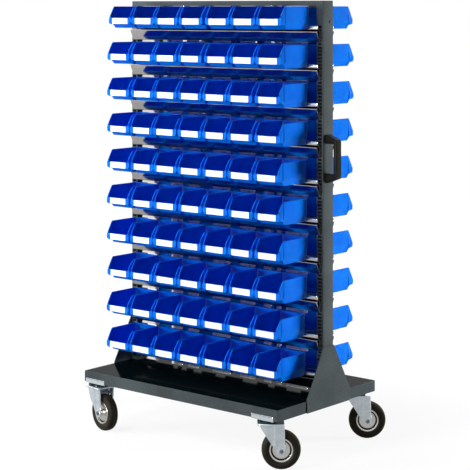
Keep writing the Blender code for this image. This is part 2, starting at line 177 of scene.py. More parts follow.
def on_axis(outline, along, axis):
    """The outline's two numbers with a third one put in front, between or behind them."""
    column = np.full((len(outline), 1), float(along))
    first, second = outline[:, :1], outline[:, 1:]
    order = {"X": (column, first, second), "Y": (first, column, second), "Z": (first, second, column)}
    return np.hstack(order[axis])


def plate(outline, start, end, axis, edge=0.6, steps=2):
    """An outline carried along an axis, with edges that are quarter circles of radius edge."""
    outline = np.asarray(outline, float)
    turn = np.linspace(0, math.pi / 2, steps + 1)
    inward, along = edge * (1 - np.sin(turn)), edge * (1 - np.cos(turn))
    stack = [(start + a, i) for a, i in zip(along, inward)]
    stack += [(end - a, i) for a, i in zip(along[::-1], inward[::-1])]
    return lofted([on_axis(inset(outline, i), a, axis) for a, i in stack])


def box_plate(low, high, axis, edge=0.6, corner=0.0):
    """A plate whose outline is the rectangle between two corners."""
    keep = ["XYZ".index(letter) for letter in "XYZ" if letter != axis]
    (a, b), (c, d) = [(low[i], high[i]) for i in keep]
    outline = rectangle(a, c, b, d)
    if corner:
        outline = rounded(outline, corner)
    along = "XYZ".index(axis)
    return plate(outline, low[along], high[along], axis, edge)


def turned(profile, sides, axis="Y", ring_shaped=False):
    """One circle for each (radius, along) point of the profile."""
    profile = np.asarray(profile, float)
    angle = np.linspace(0, 2 * math.pi, sides, endpoint=False)
    circle = np.stack([np.cos(angle), np.sin(angle)], axis=1)
    return lofted([on_axis(radius * circle, along, axis) for radius, along in profile], ring_shaped)


def span(sign, *places):
    """Places on the side that the sign names, the lowest first."""
    return sorted(sign * place for place in places)


def polygon(radius, sides, first=0.0):
    """Corners of a regular polygon."""
    angle = first + np.linspace(0, 2 * math.pi, sides, endpoint=False)
    return radius * np.stack([np.cos(angle), np.sin(angle)], axis=1)


print("a rounded square has", len(rounded(rectangle(0, 0, 9, 9), 1)), "points")

# %% [markdown]
# ## Finishes
#
# A finish starts from what the real surface is. Powder coat is a baked plastic skin with
# a fine orange peel. Zinc plate is a thin bright metal layer with faint clouds. The bins
# are injection-moulded polypropylene with a fine spark texture. One function turns a
# written sRGB colour to linear light, and one adds a node with its settings and links, so
# each finish below reads as a short recipe. Pattern sizes are given in real millimetres:
# a texture scale is one divided by the size in metres. One pixel of the picture is about
# 3.4 mm, so grains that are finer in reality are drawn at 3 to 5 mm where they should show.

# %% Colour and node helpers
def linear(colour):
    """sRGB hex to linear light: a power curve of 2.4, with a straight piece near black."""
    channels = np.array([int(colour[i : i + 2], 16) for i in (1, 3, 5)]) / 255
    light = np.where(channels <= 0.04045, channels / 12.92, ((channels + 0.055) / 1.055) ** 2.4)
    return (*light.tolist(), 1.0)


def add(tree, kind, inputs=None, **settings):
    """Adds a node. Settings are its own properties, and inputs gives a socket a value or a link."""
    made = tree.nodes.new(kind)
    for name, value in settings.items():
        setattr(made, name, value)
    for name, value in (inputs or {}).items():
        if isinstance(value, bpy.types.NodeSocket):
            tree.links.new(value, made.inputs[name])
        else:
            made.inputs[name].default_value = value
    return made


def scale_of(millimetres):
    """Texture scale that gives a pattern of this size on coordinates in metres."""
    return 1 / (millimetres * MM)


def bare_finish(name, roughness, metallic=0.0, **sockets):
    """A material with its shader, and the coordinates of the rack's own frame."""
    material = bpy.data.materials.new(name)
    material.use_nodes = True
    tree = material.node_tree
    shader = tree.nodes["Principled BSDF"]
    shader.inputs["Roughness"].default_value = roughness
    shader.inputs["Metallic"].default_value = metallic
    for socket, value in sockets.items():
        shader.inputs[socket.replace("_", " ")].default_value = value
    place = add(tree, "ShaderNodeTexCoord").outputs["Object"]
    return material, tree, shader, place


def put_on(tree, shader, tone, dark, light, height, strength, depth_mm):
    """The tone runs the base colour from dark to light, and the height, 0 to 1, becomes relief."""
    colour = add(tree, "ShaderNodeMix", {0: tone, 6: linear(dark), 7: linear(light)}, data_type="RGBA")
    sizes = {"Height": height, "Strength": strength, "Distance": depth_mm * MM}
    relief = add(tree, "ShaderNodeBump", sizes)
    tree.links.new(colour.outputs[2], shader.inputs["Base Color"])
    tree.links.new(relief.outputs["Normal"], shader.inputs["Normal"])


print("mid grey in linear light:", round(linear("#808080")[0], 3))

# %% [markdown]
# Powder coat on steel: a polyester skin, sprayed dry and baked. It gives the eye a soft
# sheen and a fine grain, painted a little lighter on its crests as a highlight. The deck's
# coat is slightly darker than the posts'. Its tread is the same kind of coat again, nearly
# black and glossier, so that it shows dim reflections of what stands on it.

# %% Powder coats
CLOUD_MM = 160  # the size of the slow unevenness of a sprayed coat


def powder_coat(name, dark, light, roughness, grain_mm, relief_mm, specular, **sockets):
    """Grain drives both the colour and the relief, and a wide slow noise makes it less even."""
    material, tree, shader, place = bare_finish(name, roughness, Specular_IOR_Level=specular, **sockets)
    grain = add(tree, "ShaderNodeTexNoise", {"Vector": place, "Scale": scale_of(grain_mm), "Detail": 3.0})
    cloud = add(tree, "ShaderNodeTexNoise", {"Vector": place, "Scale": scale_of(CLOUD_MM), "Detail": 2.0})
    both = add(tree, "ShaderNodeMath", {0: grain.outputs[0], 1: cloud.outputs[0]}, operation="ADD")
    tone = add(tree, "ShaderNodeMapRange", {0: both.outputs[0], 1: 0.7, 2: 1.3})
    # The crests of the grain are painted lighter, a painted highlight; the cloud varies the tone at
    # random.
    put_on(tree, shader, tone.outputs[0], dark, light, grain.outputs[0], 0.5, relief_mm)
    return material


orange_peel = {"roughness": 0.46, "grain_mm": 4.0, "relief_mm": 0.25, "specular": 0.12}
anthracite_coat = powder_coat("anthracite_powder_coat", "#393f41", "#515a5c", **orange_peel)
deck_coat = powder_coat("anthracite_deck_powder_coat", "#32383a", "#475053", **orange_peel)
tread_coat = powder_coat("gloss_black_powder_coat", "#020a0d", "#061216", roughness=0.5, grain_mm=3.0,
                         relief_mm=0.02, specular=0.0, Coat_Weight=0.16, Coat_Roughness=0.09)
print("coats:", anthracite_coat.name, deck_coat.name, tread_coat.name)

# %% [markdown]
# Zinc plate: the rails are roll-formed from pre-plated strip, so they are nearly a mirror,
# with faint streaks along the rolling direction. The castors are pressed first and plated
# after, in a barrel, which leaves a softer, cloudier and slightly blue metal. Barrel plating
# scatters part of the light inside its skin, so it is not a full metal to the shader. The
# wheel rims are a warmer white, and bolts and nuts dull. The ball races are steel whose
# near-black colour is painted shade of the dark gap between the plate and the fork.

# %% Zinc finishes
def zinc(name, dark, light, roughness, streak_mm, cloud_mm, relief_mm, metallic=1.0):
    """Round clouds, and streaks that a Mapping node stretches along X, vary the tone and the gloss."""
    material, tree, shader, place = bare_finish(name, roughness, metallic)
    stretch = add(tree, "ShaderNodeMapping", {"Vector": place, "Scale": (0.02, 1.0, 1.0)})
    drawn_out = {"Vector": stretch.outputs[0], "Scale": scale_of(streak_mm), "Detail": 2.0}
    streak = add(tree, "ShaderNodeTexNoise", drawn_out)
    cloud = add(tree, "ShaderNodeTexNoise", {"Vector": place, "Scale": scale_of(cloud_mm), "Detail": 3.0})
    both = add(tree, "ShaderNodeMix", {0: 0.5, 2: streak.outputs[0], 3: cloud.outputs[0]}).outputs[0]
    tone = add(tree, "ShaderNodeMapRange", {0: both, 1: 0.35, 2: 0.65})
    dull, clear = roughness * 1.25, roughness * 0.8
    uneven = add(tree, "ShaderNodeMapRange", {0: both, 1: 0.3, 2: 0.7, 3: dull, 4: clear})
    tree.links.new(uneven.outputs[0], shader.inputs["Roughness"])
    put_on(tree, shader, tone.outputs[0], dark, light, both, 0.4, relief_mm)
    return material


# Two colours, the roughness, and the streaks, clouds and relief in millimetres.
rail_zinc = zinc("roll_formed_zinc_strip", "#b9b8b6", "#c9c8c6", 0.13, 4.0, 60.0, 0.02)
castor_zinc = zinc("barrel_plated_zinc", "#d9e6ee", "#eff6fa", 0.18, 8.0, 22.0, 0.04, metallic=0.84)
rim_zinc = zinc("pressed_rim_zinc", "#d3d0cb", "#e6e3de", 0.22, 8.0, 22.0, 0.04)
# Nearly black steel: on the ball races this dark is painted shade of the gap under the plate; the locking
# screw is dark steel as well.
dark_steel_and_race_shade = zinc("dark_steel_and_race_painted_shade", "#1f282c", "#3c474c", 0.20, 8.0, 10.0, 0.04)
bolt_zinc = zinc("plated_fastener_steel", "#5c6164", "#8b9093", 0.36, 5.0, 6.0, 0.05)
print("zinc:", rail_zinc.name, castor_zinc.name, rim_zinc.name, dark_steel_and_race_shade.name, bolt_zinc.name)

# %% [markdown]
# Polypropylene: the bins are moulded in one bright blue. The plastic is slightly waxy, its
# gloss is low and even, and thin walls let a little light into the skin, so the blue stays
# saturated. Faint flow marks of some centimetres run through it. The handle is black
# polyamide with a coarser texture, and the tyres are black rubber with a brown cast. The
# labels are plain white card. A nearly black plastic fills the gap of each ball race and
# the groove of each rim as painted shade of these recesses.

# %% Plastics, rubber and card
def moulding(name, dark, light, roughness, grain_mm, relief_mm, flow_mm=60.0, **sockets):
    """A slow flow noise moves the colour, and a fine grain gives the relief of a textured mould."""
    material, tree, shader, place = bare_finish(name, roughness, **sockets)
    swirl = {"Vector": place, "Scale": scale_of(flow_mm), "Detail": 2.0, "Distortion": 0.6}
    flow = add(tree, "ShaderNodeTexNoise", swirl)
    tone = add(tree, "ShaderNodeMapRange", {0: flow.outputs[0], 1: 0.35, 2: 0.65})
    grain = add(tree, "ShaderNodeTexNoise", {"Vector": place, "Scale": scale_of(grain_mm), "Detail": 2.0})
    put_on(tree, shader, tone.outputs[0], dark, light, grain.outputs[0], 0.4, relief_mm)
    return material


waxy = {"Subsurface_Weight": 0.55, "Subsurface_Radius": (0.05, 0.3, 1.0), "Subsurface_Scale": 0.0035}
# Two colours, the roughness, and the grain and relief in millimetres.
bin_plastic = moulding("blue_polypropylene", "#016ad8", "#0373e4", 0.34, 2.0, 0.04,
                       IOR=1.49, Specular_IOR_Level=0.12, **waxy)
handle_plastic = moulding("black_polyamide", "#16170f", "#201f18", 0.42, 2.5, 0.12,
                          IOR=1.53, Specular_IOR_Level=0.08)
tyre_rubber = moulding("black_tyre_rubber", "#211e16", "#2d2920", 0.60, 3.0, 0.12,
                       flow_mm=30.0, IOR=1.52, Specular_IOR_Level=0.12)
label_card = moulding("white_label_card", "#f4f4f2", "#fdfdfc", 0.60, 1.2, 0.02, flow_mm=20.0, IOR=1.47)
# A near-black plastic that fills recesses as painted shade: the race gaps and the rim grooves.
recess_shade_plastic = moulding("recess_painted_shade_plastic", "#0d1416", "#172024", 0.50, 2.0, 0.05,
                        flow_mm=20.0, Specular_IOR_Level=0.15)
print("mouldings:", bin_plastic.name, handle_plastic.name, tyre_rubber.name, recess_shade_plastic.name)


# %% Making a piece
CREASE = math.radians(32)  # faces that meet at a larger angle keep a sharp edge


def in_scene(name, points, faces, material):
    """A new object with its mesh and its material, in metres."""
    mesh = bpy.data.meshes.new(name)
    mesh.from_pydata(points, [], faces)
    mesh.materials.append(material)
    made = bpy.data.objects.new(name, mesh)
    bpy.context.scene.collection.objects.link(made)
    return made


def make_piece(name, shape, material, body="rack", stands_for=()):
    """Puts a shape in the scene, rides it on its body, and hides the CAD nodes it stands for."""
    points, faces = shape
    piece = in_scene(name, (points * MM + rack_middle).tolist(), faces, material)
    piece.data.shade_smooth()
    piece.data.set_sharp_from_angle(angle=CREASE)
    if stands_for:
        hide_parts(*stands_for)
    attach(piece, body)
    print(f"{name}: {len(points)} points, {len(faces)} faces, on {body}")


# %% [markdown]
# ## One bin
#
# The bin is an open box of 2 mm plastic with a thicker rim. Its mouth is cut down in front,
# and the cut rises in an S on each cheek. Below the mouth a flat panel takes the label, and
# under the panel the foot steps back and the sides draw in. It could be a box with holes cut
# in it, but a stack of loops is simpler and cleaner: every loop goes once round the wall at
# one level, and the rim is just a loop whose height follows the cut. One half of each loop
# is written down and mirrored.

# %% The loops of a bin
# Half of the wall line seen from above: back corner, side with a rib, front corner, front.
half_line = np.array([
    (30, 0), (45.8, 0), (50.6, 1.9), (52.3, 7),
    (52.3, 45), (52.3, 90), (52.2, 119), (52.2, 120.6), (53.9, 121.8), (53.9, 125.5), (52.6, 126.8),
    (52.8, 131), (53.2, 136.5), (53.4, 141), (53.6, 145.4), (53.2, 146),
    (50.5, 146), (47.5, 146), (44, 146), (39, 146), (20, 146),
])
# The same points on the rim, with their height.
half_rim = np.array([
    (30, 0, 75), (46, 0, 75), (51.2, 1.9, 75), (53, 7, 74.9),
    (53, 45, 74.9), (53, 90, 74.9), (53, 119, 74.8), (52.6, 120.5, 74.7), (52.0, 121.5, 74.6),
    (51.0, 124.0, 73.6), (50.4, 125.6, 72.2), (50.0, 129.4, 67.4), (49.5, 134.2, 60.4),
    (49.0, 139.0, 52.8), (48.6, 143, 46.4), (48.0, 146, 41.8),
    (46.9, 146, 39.0), (45.0, 146, 36.8), (42.6, 146, 35.6), (39, 146, 35.1), (20, 146, 35),
])
# The underside of the front panel is higher at its corners.
nose_height = np.full(len(half_line), 17.0)
nose_height[-5:] = (15.4, 14.0, 13.0, 12.8, 12.8)
# Lengths of the bin, its floor and its step, and the part of a side that draws back to them.
BIN_LENGTH, FLOOR_LENGTH, STEP_LENGTH, DRAWN_BACK = 146.0, 118.0, 127.0, 36
WALL, RIM, HALF_WIDTH = 2.0, 3.2, 53


def mirrored(half):
    """The written half, then the same points with X turned round, in backward order."""
    half = np.asarray(half, float)
    other = half[::-1] * np.array([-1] + [1] * (half.shape[1] - 1))
    return np.concatenate([half, other])


def shortened(line, front):
    """The wall line with its front end squeezed, so that its front lies at a new place."""
    line = line.copy()
    start = BIN_LENGTH - DRAWN_BACK
    beyond = line[:, 1] > start
    line[beyond, 1] = start + (line[beyond, 1] - start) * (front - start) / DRAWN_BACK
    line[:, 0] = np.clip(line[:, 0], -HALF_WIDTH, HALF_WIDTH)
    return line


def narrowed(line, half_width):
    """The wall line with its sides drawn in, as the draft of the mould needs near the floor."""
    return line * (half_width / HALF_WIDTH, 1)


def level(line, height):
    """A wall line at one height, or at one height for each point."""
    return np.column_stack([line, np.broadcast_to(height, len(line))])


def bin_wall():
    """Loops go up the outer skin, over the rounded rim and down the inner skin to the floor."""
    wall, rim = mirrored(half_line), mirrored(half_rim)
    nose = np.concatenate([nose_height, nose_height[::-1]])
    foot = narrowed(shortened(wall, FLOOR_LENGTH), 48.5)
    step = narrowed(shortened(wall, STEP_LENGTH), 50)
    lower = narrowed(wall, 52)
    rim_line, rim_height = rim[:, :2], rim[:, 2]
    outer_skin = [level(inset(foot, 1), 0), level(foot, 1), level(step, 12), level(lower, nose)]
    round_rim = [
        level(wall, 30), level(rim_line, rim_height - 0.6), level(inset(rim_line, 0.5), rim_height),
        level(inset(rim_line, RIM - 0.5), rim_height), level(inset(rim_line, RIM), rim_height - 0.6),
        level(inset(rim_line, RIM), rim_height - 2.6), level(inset(rim_line, WALL), rim_height - 4.0),
    ]
    inner_skin = [
        level(inset(wall, WALL), 30), level(inset(lower, WALL), 18),
        level(inset(step, WALL), 14), level(inset(foot, WALL), WALL),
    ]
    return lofted(outer_skin + round_rim + inner_skin)


def label_frame():
    """A thin raised edge round three sides of the label, seen from the front as a U."""
    outline = [(-38.0, 13.0), (38.0, 13.0), (38.0, 34.8), (36.8, 34.8),
               (36.8, 14), (-36.8, 14), (-36.8, 34.8), (-38.0, 34.8)]
    return plate(outline, 145.5, 146.8, "Y", edge=0.3, steps=1)


def hook():
    """The strip on the back that drops over the rail's lip, as an L carried along X."""
    outline = [(1.5, 11.4), (1.5, 13.9), (-9.5, 13.9), (-9.5, 5), (-7.5, 5), (-7.5, 11.4)]
    return plate(outline, -47, 47, "X", edge=0.4, steps=1)


one_bin = joined([bin_wall(), label_frame(), hook()])
one_label = box_plate((-36.4, 145.9, 14.2), (36.4, 146.3, 34.2), "Y", edge=0.1, corner=0.6)
print("one bin:", len(one_bin[0]), "points and", len(one_bin[1]), "faces")

# %% [markdown]
# ## Ten tiers on each side
#
# Somebody hung the bins by hand, so the gaps between them differ from bin to bin. On the
# front they stand where the picture shows them, given as the middle of each label. The
# rear rows hang evenly inside their CAD rows. The bin that lifts off keeps its own body,
# and its label goes with it.

# %% Places of the bins
front_middles = np.array([
    (-326.0, -217.2, -109.2, 1.0, 118.2, 226.5, 336.2),
    (-333.2, -221.8, -113.8, -2.5, 113.8, 224.5, 332.8),
    (-334.5, -220.8, -113.2, -3.2, 106.5, 214.8, 330.2),
    (-334.5, -224.2, -116.2, -3.0, 106.0, 215.2, 329.0),
    (-334.8, -222.0, -114.2, -4.2, 106.2, 215.2, 325.5),
    (-336.0, -222.0, -114.2, -1.2, 108.8, 217.5, 328.2),
    (-335.8, -224.2, -116.2, -5.0, 106.0, 216.2, 328.8),
    (-333.0, -224.0, -115.0, -5.8, 106.8, 221.0, 328.8),
    (-337.0, -224.5, -116.8, -7.0, 102.2, 210.5, 319.5),
    (-336.5, -227.2, -119.8, -7.0, 102.8, 214.2, 321.5),
])
# Tiers, bins in a row, the rear bins' pitch, and the bins' backs from the middle.
TIERS, BINS, PITCH, BIN_BACK = 10, 7, 110.4, 49.0
tier_base = [in_rack(f"front_bins_{tier}")[0][2] for tier in range(1, TIERS + 1)]
print("tier heights, mm:", np.round(tier_base).tolist())


def hung(shape, middle, base, side):
    """A bin-frame shape hung on the front (side -1, turned half round) or on the rear (side 1)."""
    return moved(shape, (middle, side * BIN_BACK, base), math.pi if side < 0 else 0.0)


# %% Hanging the bins and their labels
labels = {"front": [], "rear": []}


def hang_row(side, sign, tier, middles):
    """One tier's bins on one side as one piece. Their labels are kept for a piece of their own."""
    base = tier_base[tier - 1]
    row = joined([hung(one_bin, x, base, sign) for x in middles])
    make_piece(f"{side}_bin_row_{tier}", row, bin_plastic, stands_for=[f"{side}_bins_{tier}"])
    labels[side] += [hung(one_label, x, base, sign) for x in middles]


for tier in range(1, TIERS + 1):
    middles = list(front_middles[tier - 1])
    loose = [middles.pop()] if tier == TIERS else []
    hang_row("front", -1, tier, middles)
    for x in loose:
        shell, label = [hung(shape, x, tier_base[tier - 1], -1) for shape in (one_bin, one_label)]
        make_piece("loose_bin_shell", shell, bin_plastic, "loose_bin", ["lift_off_bin"])
        make_piece("loose_bin_label", label, label_card, "loose_bin")
    low, high = in_rack(f"rear_bins_{tier}")
    middle = (low[0] + high[0]) / 2
    hang_row("rear", 1, tier, middle + (np.arange(BINS) - (BINS - 1) / 2) * PITCH)
for side in labels:
    make_piece(f"{side}_labels", joined(labels[side]), label_card)

# %% [markdown]
# ## The rails
#
# A rail is one strip of bright zinc-plated steel, roll-formed to an open channel: a short
# flange on top, a flat web against the posts, and a sloping face with a short upright nose
# that is hemmed back. A thicker lip stands on the flange behind the bins for their hooks.
# Between the lip and the hem runs a narrow slot, which the picture shows as a dark line.
# Seen from its end the strip is a folded line, so the line is drawn, its folds are made
# round, and it is moved by half the sheet to each side. That outline is carried along X.
# Small tongues hang below the rail at the places where the picture shows them.

# %% Folded strip
def eased(path, radius, steps):
    """An open line whose folds are round, and whose two ends stay where they are."""
    path = np.asarray(path, float)
    folds = rounded(path, radius, steps).reshape(len(path), steps + 1, 2)[1:-1].reshape(-1, 2)
    return np.concatenate([path[:1], folds, path[-1:]])


def folded(path, thickness, radius):
    """An open line with round folds, then the same line moved half the thickness to either side."""
    line = eased(path, radius, 3)
    ahead = np.gradient(line, axis=0)
    ahead /= np.linalg.norm(ahead, axis=1, keepdims=True)
    aside = np.stack([-ahead[:, 1], ahead[:, 0]], axis=1) * thickness / 2
    return np.concatenate([line + aside, (line - aside)[::-1]])


# The tongues' ends along X, seen from the front.
tongues = ((-372, -292), (-231, -180), (-152, -104), (-41, 38),
           (81, 147), (184, 216), (240, 258), (279, 368))
# Seen from the end: distance from the middle of the rack, and height over the bins' underside.
strip_line = [(43.4, 0.2), (38, 0.2), (29.3, -12), (29.3, -42.2),
              (32, -42.2), (46.7, -10.4), (47.2, -7.6), (43.6, -7.2)]
lip_outline = rounded(rectangle(41.6, -1.0, 45.3, 11), (0.3, 1.4, 1.4, 1.4), 3)
tongue_outline = [(28.4, -41.6), (29.7, -41.6), (33.0, -51), (31.7, -51)]
STRIP_SHEET, STRIP_FOLD = 1.4, 1.6


def rail_shape(half):
    """Strip, lip and tongues in the frame of a rear rail, with Z from the underside of the bins."""
    parts = [plate(folded(strip_line, STRIP_SHEET, STRIP_FOLD), -half, half, "X", edge=0.2, steps=1)]
    parts.append(plate(lip_outline, -half, half, "X", edge=0.4))
    for start, end in tongues:
        parts.append(plate(tongue_outline, -end, -start, "X", edge=0.3))
    return joined(parts)


# %% Hanging the rails
for tier in range(1, TIERS + 1):
    for side, sign in (("front", -1), ("rear", 1)):
        node = f"{side}_rail_{tier}"
        low, high = in_rack(node)
        half = (high[0] - low[0]) / 2
        shape = moved(rail_shape(half), (0, 0, tier_base[tier - 1]), math.pi if sign < 0 else 0.0)
        make_piece(f"{side}_rail_strip_{tier}", shape, rail_zinc, stands_for=[node])

# %% [markdown]
# ## Posts, beam and foot plates
#
# The posts are perforated square tube. A row of narrow slots runs down the front and the
# rear face, eleven to each tier, so that the rails can hang at any height. The slots are
# real openings: each one is a cell of the wall, a rectangle with a rounded hole, and the
# cells share their edges. Around them stand plain walls with round corners.

# %% A wall with slots
SLOT_PITCH, SLOT_HALF_WIDTH, SLOT_HALF_HEIGHT, SLOT_TOP = 125 / 11, 8.3, 3.5, 1403.0


def slotted_wall(x_low, x_high, y_front, y_back, z_low, z_high):
    """Cells stacked along Z, each with four corners and a hole of twelve points, on both skins."""
    count = int((SLOT_TOP - z_low) / SLOT_PITCH)
    middle = (x_low + x_high) / 2
    lines = np.concatenate([[z_low], SLOT_TOP - SLOT_PITCH * np.arange(count, -1, -1), [z_high]])
    corners = np.stack([np.tile([x_low, x_high], len(lines)), np.repeat(lines, 2)], axis=1)
    hole = rounded(rectangle(-1, -1, 1, 1), 0.35, 2) * (SLOT_HALF_WIDTH, SLOT_HALF_HEIGHT)
    centres = lines[1:-2] + SLOT_PITCH / 2
    holes = (hole[None] + np.stack([np.full(count, middle), centres], axis=1)[:, None]).reshape(-1, 2)
    flat = np.concatenate([corners, holes])
    points = np.concatenate([on_axis(flat, y_front, "Y"), on_axis(flat, y_back, "Y")])
    skin, first = [], len(corners)
    for cell in range(len(lines) - 1):
        box = [2 * cell, 2 * cell + 1, 2 * cell + 3, 2 * cell + 2]
        if cell in (0, len(lines) - 2):
            skin.append(box)
            continue
        ring = first + 12 * (cell - 1) + np.arange(12)
        for side in range(4):
            here, there = ring[3 * side + 1], ring[(3 * side + 4) % 12]
            after, before = ring[3 * side + 2], ring[(3 * side + 3) % 12]
            skin.append([box[side], box[(side + 1) % 4], there, before, after, here])
    back = len(flat)
    faces = skin + [[back + corner for corner in face[::-1]] for face in skin]
    for cell in range(count):
        ring = first + 12 * cell + np.arange(12)
        for here, there in zip(ring, np.roll(ring, -1)):
            faces.append([there, here, back + here, back + there])
    rows = len(lines)
    for row in range(rows - 1):
        for a, b in ((2 * row + 2, 2 * row), (2 * row + 1, 2 * row + 3)):
            faces.append([a, b, back + b, back + a])
    faces.append([0, 1, back + 1, back])
    faces.append([2 * rows - 1, 2 * rows - 2, back + 2 * rows - 2, back + 2 * rows - 1])
    return outward(points, [[int(corner) for corner in face] for face in faces])


# %% The posts
# The tube's width along X, half of it along Y, its ends, and the place of its end face along X.
POST_WIDTH, POST_SIDE, POST_FOOT, POST_TOP, END = 27.0, 28.0, 200.1, 1467.6, 427.5
# Its sheet, how far a plain wall turns the corner, and where a slotted wall starts.
POST_SHEET, POST_CORNER, SLOTTED_FROM = 2.0, 4.4, 4.3


def post_shape():
    """Two plain walls turn the corners, and two slotted ones join them. The outer face is at X = 0."""
    skin = POST_SHEET / 2
    side = POST_SIDE - skin
    side_line = [(-POST_CORNER, -side), (-skin, -side), (-skin, side), (-POST_CORNER, side)]
    side_wall = folded(side_line, POST_SHEET, 2.6)
    parts = [plate(side_wall, POST_FOOT, POST_TOP, "Z", 0.1)]
    parts.append(plate(side_wall * (-1, 1) - (POST_WIDTH, 0), POST_FOOT, POST_TOP, "Z", 0.1))
    for sign in (-1, 1):
        y = span(sign, POST_SIDE, POST_SIDE - POST_SHEET)
        parts.append(slotted_wall(SLOTTED_FROM - POST_WIDTH, -SLOTTED_FROM, *y, POST_FOOT, POST_TOP))
    return joined(parts)


post = post_shape()
for side, sign, turn in (("right", 1, 0.0), ("left", -1, math.pi)):
    make_piece(f"{side}_post", moved(post, (sign * END, 0, 0), turn), anthracite_coat,
               stands_for=[f"{side}_upright"])

# %% [markdown]
# The beam is a shallow folded lid over both posts. Its corners and edges are round, and the
# small shadow under its lower edge is the line that the picture shows across the post. The
# foot plates are cut from 3 mm sheet, narrow at the top and flared where they meet the deck.

# %% Beam, tongues and foot plates
BEAM_HEIGHT, TONGUE_DROP = 18, 6
beam_top = in_rack("top_beam")[1][2]
beam_foot = beam_top - BEAM_HEIGHT
beam_plan = rounded(inset(rectangle(-END, -POST_SIDE, END, POST_SIDE), -0.3), 2.5, 4)
make_piece("beam_lid", plate(beam_plan, beam_foot, beam_top, "Z", edge=1.6, steps=3), anthracite_coat,
           stands_for=["top_beam"])
beam_tongues = []
for sign in (-1, 1):
    for start, end in tongues:
        x, y = span(-sign, start, end), span(sign, 27.9, 26.6)
        low, high = (x[0], y[0], beam_foot - TONGUE_DROP), (x[1], y[1], beam_foot + 1)
        beam_tongues.append(box_plate(low, high, "Y", edge=0.3, corner=0.9))
make_piece("beam_tongues", joined(beam_tongues), rail_zinc)

foot_plan = rounded([(-116, 161.5), (116, 161.5), (116, 204), (28, 359), (-28, 359), (-116, 204)],
                    (2, 2, 8, 4, 4, 8), 4)
for side, sign in (("right", 1), ("left", -1)):
    x = span(sign, 427.7, 430.8)
    make_piece(f"{side}_foot_plate", plate(foot_plan, x[0], x[1], "X", edge=0.8), anthracite_coat,
               stands_for=[f"{side}_gusset"])

# %% [markdown]
# ## The deck
#
# The deck is a tray folded from one sheet, open below. The front and rear skirts have
# notches over the castor plates. Its four corners are not welded over, so a fine seam
# shows there. The tread is coated glossier than the skirt, so it is a skin of its own.

# %% Deck tray and tread
DECK_TOP, DECK_FOOT, DECK_SIDE, NOTCH_HALF, NOTCH_TOP = 200.0, 163.0, 265.0, 45.5, 177.0
# Hidden channels stiffen the tray over the castors: middle and half width along X, flat face,
# upper ends and half length.
CHANNEL_X, CHANNEL_HALF, CHANNEL_FOOT, CHANNEL_TOP, CHANNEL_END = 372, 52, 176.3, 198, 251
DECK_SHEET = 2
deck_plan = rectangle(-END, -DECK_SIDE, END, DECK_SIDE)
tray = [plate(rounded(deck_plan, 2.0), DECK_TOP - 3, DECK_TOP, "Z", edge=1.6, steps=3)]
for side, sign in (("front", -1), ("rear", 1)):
    outline = [(-END + 0.4, DECK_TOP - DECK_SHEET), (-END + 0.4, DECK_FOOT)]
    for end in ("left", "right"):
        low, high = in_rack(f"{side}_{end}_caster_plate")
        middle = (low[0] + high[0]) / 2
        left, right = middle - NOTCH_HALF, middle + NOTCH_HALF
        outline += [(left, DECK_FOOT), (left, NOTCH_TOP), (right, NOTCH_TOP), (right, DECK_FOOT)]
    outline += [(END - 0.4, DECK_FOOT), (END - 0.4, DECK_TOP - DECK_SHEET)]
    y = span(sign, DECK_SIDE - 0.1, DECK_SIDE - DECK_SHEET)
    tray.append(plate(outline, y[0], y[1], "Y", edge=0.4))
for sign in (-1, 1):
    x = span(sign, END - 0.1, END - DECK_SHEET)
    side = DECK_SIDE - DECK_SHEET - 0.3
    tray.append(box_plate((x[0], -side, DECK_FOOT), (x[1], side, DECK_TOP - DECK_SHEET), "X", edge=0.4))
for middle in (-CHANNEL_X, CHANNEL_X):
    a, b, inside = middle - CHANNEL_HALF, middle + CHANNEL_HALF, CHANNEL_FOOT + DECK_SHEET
    c, d = a + DECK_SHEET, b - DECK_SHEET
    channel = [(a, CHANNEL_FOOT), (b, CHANNEL_FOOT), (b, CHANNEL_TOP), (d, CHANNEL_TOP),
               (d, inside), (c, inside), (c, CHANNEL_TOP), (a, CHANNEL_TOP)]
    tray.append(plate(channel, -CHANNEL_END, CHANNEL_END, "Y", edge=0.4))
make_piece("deck_tray", joined(tray), deck_coat, stands_for=["base_deck"])
tread_plan = rounded(inset(deck_plan, 1.7), 1.5)
tread = plate(tread_plan, DECK_TOP - 0.6, DECK_TOP + 0.03, "Z", edge=0.03, steps=1)
make_piece("deck_tread", tread, tread_coat)

# %% [markdown]
# ## The handle
#
# A bow of black polyamide on the end face. Seen from the side it is a C with slanted ends,
# drawn as an outer and an inner line. A rounded section spans the two at every point.

# %% Bow handle
handle_low, handle_high = in_rack("bow_handle")
grip_middle = (handle_low[2] + handle_high[2]) / 2
near, far, half = handle_low[0], handle_high[0], (handle_high[2] - handle_low[2]) / 2
GRIP_HALF, OPENING_HALF, GRIP_DEPTH = 63, 49.5, 12
inside, gap = far - GRIP_DEPTH, OPENING_HALF
outer_line = eased([(near, half), (far, GRIP_HALF), (far, -GRIP_HALF), (near, -half)], 9, 5)
inner_line = eased([(near, gap), (inside, gap), (inside, -gap), (near, -gap)], 7, 5)
sections = []
for outer, inner in zip(outer_line, inner_line):
    depth = np.linalg.norm(outer - inner)
    section = rounded(rectangle(0, handle_low[1], depth, handle_high[1]), 4.5, 4)
    x, z = inner[:, None] + (outer - inner)[:, None] / depth * section[:, 0]
    sections.append(np.stack([x, section[:, 1], z + grip_middle], axis=1))
make_piece("handle_bow", lofted(sections), handle_plastic, stands_for=["bow_handle"])

